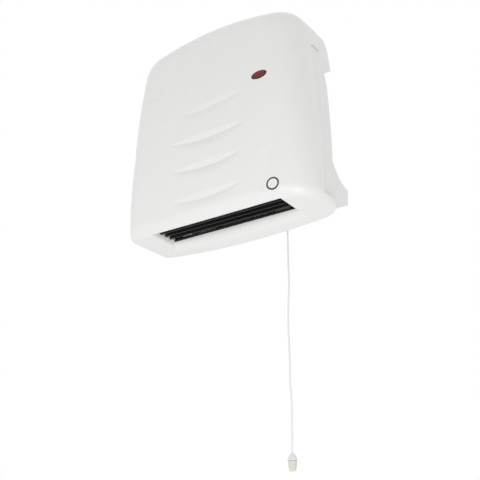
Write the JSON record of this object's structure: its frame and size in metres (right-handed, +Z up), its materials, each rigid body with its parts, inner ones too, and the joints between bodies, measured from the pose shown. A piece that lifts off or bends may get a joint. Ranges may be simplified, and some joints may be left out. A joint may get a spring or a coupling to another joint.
{
  "type": "bathroom wall fan heater",
  "caption": "Wall-mounted downflow fan heater: white moulded cover, louvred outlet underneath, oval indicator and a pull cord with a tapered pull.",
  "frame": {"origin": "middle of the upper band of the rear casing, on the face that bears on the wall", "axes": "+Y into the wall, +Z up, +X to the right as seen from the room"},
  "size_m": [0.2498, 0.1048, 0.519],
  "materials": {
    "cover_white": "satin gloss, moulded",
    "casing_white": "satin, moulded",
    "comb_white": "moulded",
    "louvre_black": "matt black",
    "lens_red": "glossy translucent red",
    "lamp_glass": "clear",
    "nylon": "moulded nylon",
    "zinc": "zinc-plated sheet",
    "steel": "ground steel",
    "lamination": "laminated electrical steel",
    "winding": "enamelled copper winding",
    "brass": "turned",
    "rubber": "moulded",
    "sheath": "heat-tinted steel sheath",
    "mica": "mica board",
    "black_plastic": "moulded",
    "lead_brown": "insulated lead",
    "lead_blue": "insulated lead",
    "lead_earth": "insulated lead, green and yellow",
    "cord_white": "braided cord"
  },
  "bodies": {
    "housing": {"front_cover": "cover_white", "rear_casing": "casing_white", "outlet_comb_left": "comb_white", "outlet_comb_right": "comb_white", "louvre_blade_1": "louvre_black", "louvre_blade_2": "louvre_black", "louvre_blade_3": "louvre_black", "neon_lens": "lens_red", "neon_lamp": "lamp_glass", "neon_holder": "nylon", "terminal_block": "nylon", "cable_clamp": "nylon", "pull_switch_body": "nylon", "cord_guide": "nylon", "motor_bracket": "zinc", "motor_screw_1": "zinc", "motor_screw_2": "zinc", "fan_end_plate_left": "zinc", "fan_end_plate_right": "zinc", "scroll_plate": "zinc", "vortex_plate": "zinc", "clamp_screw_1": "zinc", "clamp_screw_2": "zinc", "cover_screw_left": "zinc", "cover_screw_right": "zinc", "switch_spring": "steel", "motor_stator": "lamination", "motor_coil": "winding", "bearing_right": "brass", "terminal_screw_1": "brass", "terminal_screw_2": "brass", "terminal_screw_3": "brass", "bearing_left": "rubber", "heating_element": "sheath", "element_support_left": "mica", "element_support_right": "mica", "thermal_cutout": "black_plastic", "live_lead": "lead_brown", "neutral_lead": "lead_blue", "earth_lead": "lead_earth"},
    "fan": {"fan_rotor": "zinc", "fan_stub_shaft": "steel", "motor_shaft": "steel", "motor_rotor": "lamination"},
    "pull": {"switch_plunger": "nylon", "pull_cord": "cord_white", "cord_pull_cap": "cover_white", "cord_pull_cup": "nylon"}
  },
  "joints": [
    {"name": "fan_spin", "type": "hinge", "parent": "housing", "child": "fan", "pos_m": [0, -0.0655, -0.088], "axis": [1, 0, 0], "continuous": true},
    {"name": "cord_pull", "type": "slide", "parent": "housing", "child": "pull", "axis": [0, 0, -1], "range_m": [0, 0.005], "stiffness_N_per_m": 300, "springref_m": -0.004, "deforming": ["switch_spring"]}
  ]
}
